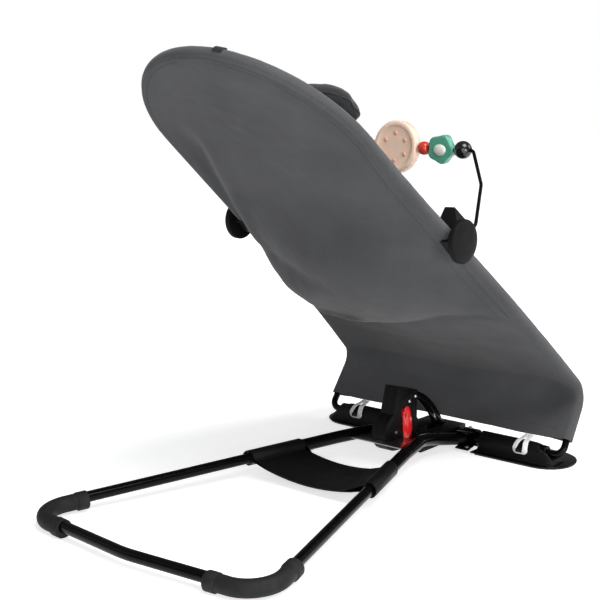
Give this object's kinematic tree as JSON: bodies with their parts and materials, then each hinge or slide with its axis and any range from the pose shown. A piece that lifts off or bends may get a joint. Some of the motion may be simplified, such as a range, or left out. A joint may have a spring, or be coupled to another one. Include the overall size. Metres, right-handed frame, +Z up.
{
  "type": "baby rocker",
  "caption": "Folding baby rocker: padded cloth seat on a bent rod hinged to a steel-tube base with a latch hub, and a swing-away toy bar.",
  "frame": {"origin": "middle of the footprint, on the floor", "axes": "+Z up, +Y toward the head end, +X toward the lying child's left"},
  "size_m": [0.39, 0.6251, 0.5298],
  "materials": {
    "black_steel": "gloss enamel on steel tube and rod",
    "bright_steel": "bright zinc plate",
    "charcoal_plastic": "fine matt texture",
    "grey_rubber": "matt",
    "red_plastic": "satin",
    "seat_cloth": "woven cotton, dark grey",
    "rear_cloth": "woven cotton, dark grey",
    "pillow_cloth": "soft jersey, charcoal",
    "tab_cloth": "woven tape, black",
    "elastic": "knitted elastic, white",
    "toy_peach": "satin",
    "toy_green": "satin",
    "toy_white": "satin",
    "toy_red": "gloss",
    "toy_black": "gloss"
  },
  "bodies": {
    "base": {"rear_frame_tube": "black_steel", "leg_spreader": "charcoal_plastic", "cross_plate": "bright_steel", "foot_crossbar": "black_steel", "axle_housing": "charcoal_plastic", "lever_pin": "bright_steel", "lever_spring": "bright_steel", "hub_screw_front": "bright_steel", "hub_screw_rear": "bright_steel", "corner_sleeve_left": "grey_rubber", "front_tube_left": "black_steel", "snap_spring_left": "bright_steel", "axle_bush_left": "charcoal_plastic", "foot_pad_left": "grey_rubber", "wing_plate_left": "black_steel", "wing_cover_left": "charcoal_plastic", "tube_clamp_left": "black_steel", "clamp_rivet_top_left": "bright_steel", "clamp_rivet_rear_left": "bright_steel", "hub_shell_left": "charcoal_plastic", "corner_sleeve_right": "grey_rubber", "front_tube_right": "black_steel", "snap_spring_right": "bright_steel", "axle_bush_right": "charcoal_plastic", "foot_pad_right": "grey_rubber", "wing_plate_right": "black_steel", "wing_cover_right": "charcoal_plastic", "tube_clamp_right": "black_steel", "clamp_rivet_top_right": "bright_steel", "clamp_rivet_rear_right": "bright_steel", "hub_shell_right": "charcoal_plastic"},
    "seat": {"seat_frame_rod": "black_steel", "crank_arm": "black_steel", "crank_pin": "bright_steel", "seat_sling": "seat_cloth", "rear_cover": "rear_cloth", "head_pillow": "pillow_cloth", "head_tab": "tab_cloth", "restraint_flap": "seat_cloth", "toy_clip_left": "charcoal_plastic", "elastic_loop_left": "elastic", "toy_clip_right": "charcoal_plastic", "elastic_loop_right": "elastic"},
    "release_lever": {"release_lever": "red_plastic"},
    "toy_bar": {"toy_wire": "black_steel", "toy_disc_cap_left": "charcoal_plastic", "toy_disc_cap_right": "charcoal_plastic", "toy_ball_left": "toy_black", "toy_ball_right": "toy_black"},
    "toy_disc": {"toy_disc": "toy_peach"},
    "snap_left": {"snap_button_left": "bright_steel"},
    "leaf_left": {"toy_leaf_left": "toy_green", "toy_oval_left": "toy_white"},
    "bead_left": {"toy_bead_left": "toy_red"},
    "snap_right": {"snap_button_right": "bright_steel"},
    "leaf_right": {"toy_leaf_right": "toy_green", "toy_oval_right": "toy_white"},
    "bead_right": {"toy_bead_right": "toy_red"}
  },
  "joints": [
    {"name": "seat_recline", "type": "hinge", "parent": "base", "child": "seat", "pos_m": [0, -0.2583, 0.0165], "axis": [1, 0, 0], "range_deg": [-30, 0], "deforming": ["elastic_loop_left", "elastic_loop_right"]},
    {"name": "lever_press", "type": "hinge", "parent": "base", "child": "release_lever", "pos_m": [0, -0.1463, 0.04], "axis": [1, 0, 0], "range_deg": [-7, 0], "stiffness_Nm_per_rad": 0.6, "springref_deg": 6.88, "deforming": ["lever_spring"]},
    {"name": "toy_bar_swing", "type": "hinge", "parent": "seat", "child": "toy_bar", "pos_m": [0, -0.05291, 0.31075], "axis": [1, 0, 0], "range_deg": [-60, 15]},
    {"name": "disc_spin", "type": "hinge", "parent": "toy_bar", "child": "toy_disc", "pos_m": [0, -0.1593, 0.403], "axis": [1, 0, 0], "continuous": true},
    {"name": "snap_press_left", "type": "slide", "parent": "base", "child": "snap_left", "axis": [0, 0, 1], "range_m": [0, 0.0035], "stiffness_N_per_m": 300, "springref_m": -0.002, "deforming": ["snap_spring_left"]},
    {"name": "leaf_spin_left", "type": "hinge", "parent": "toy_bar", "child": "leaf_left", "pos_m": [0, -0.1593, 0.403], "axis": [1, 0, 0], "continuous": true},
    {"name": "bead_spin_left", "type": "hinge", "parent": "toy_bar", "child": "bead_left", "pos_m": [0, -0.1593, 0.403], "axis": [1, 0, 0], "continuous": true},
    {"name": "snap_press_right", "type": "slide", "parent": "base", "child": "snap_right", "axis": [0, 0, 1], "range_m": [0, 0.0035], "stiffness_N_per_m": 300, "springref_m": -0.002, "deforming": ["snap_spring_right"]},
    {"name": "leaf_spin_right", "type": "hinge", "parent": "toy_bar", "child": "leaf_right", "pos_m": [0, -0.1593, 0.403], "axis": [1, 0, 0], "continuous": true},
    {"name": "bead_spin_right", "type": "hinge", "parent": "toy_bar", "child": "bead_right", "pos_m": [0, -0.1593, 0.403], "axis": [1, 0, 0], "continuous": true}
  ]
}
